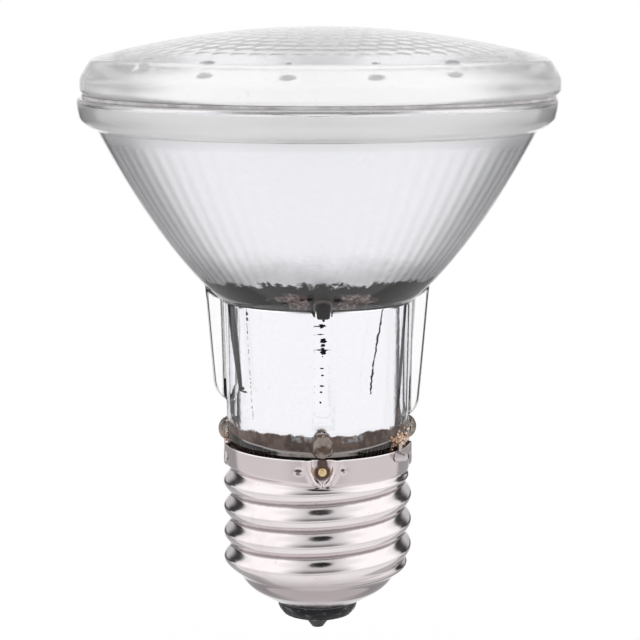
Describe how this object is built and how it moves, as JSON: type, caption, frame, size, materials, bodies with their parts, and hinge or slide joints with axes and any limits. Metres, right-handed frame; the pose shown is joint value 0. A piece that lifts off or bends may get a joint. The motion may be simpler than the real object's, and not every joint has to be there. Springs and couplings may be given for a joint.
{
  "type": "par spotlight bulb",
  "caption": "Reflector spotlight bulb with a domed glass lens, a mirrored bowl tapering to a ribbed neck, and a metal screw cap.",
  "frame": {"origin": "tip of the centre contact, on the lamp's axis", "axes": "+Z along the lamp's axis from the cap to the lens, +X to the right and -Y towards the viewer of the picture"},
  "size_m": [0.0654, 0.065, 0.084],
  "materials": {
    "lens_glass": "clear pressed glass, faintly frosted inside",
    "rim_adhesive": "dark adhesive in the joint",
    "mirror_glass": "clear pressed glass, aluminised inside",
    "quartz_glass": "clear quartz",
    "tungsten": "dull grey",
    "lead_metal": "drawn wire",
    "foil_metal": "thin bright foil",
    "white_cement": "matt, grainy",
    "cap_nickel": "bright nickel, faintly pink",
    "pin_brass": "worn",
    "brown_cement": "matt, uneven",
    "wire_metal": "tinned wire",
    "solder": "dull, grainy",
    "fuse_body": "smooth",
    "sleeve_fibre": "woven fibre",
    "black_glass": "glossy black glass",
    "contact_brass": "bright, faintly scratched"
  },
  "bodies": {
    "root": {"lens": "lens_glass", "rim_seal": "rim_adhesive", "reflector": "mirror_glass", "burner_envelope": "quartz_glass", "filament": "tungsten", "lower_filament_lead": "lead_metal", "upper_filament_lead": "lead_metal", "foil_left": "foil_metal", "foil_right": "foil_metal", "burner_pin_left": "lead_metal", "burner_pin_right": "lead_metal", "neck_cement": "white_cement", "screw_shell": "cap_nickel", "stake_pins": "pin_brass", "cap_cement": "brown_cement", "side_lead": "wire_metal", "side_solder": "solder", "centre_lead": "wire_metal", "fuse": "fuse_body", "contact_lead": "wire_metal", "lead_sleeve": "sleeve_fibre", "insulator": "black_glass", "centre_contact": "contact_brass", "contact_solder": "solder"}
  },
  "joints": []
}
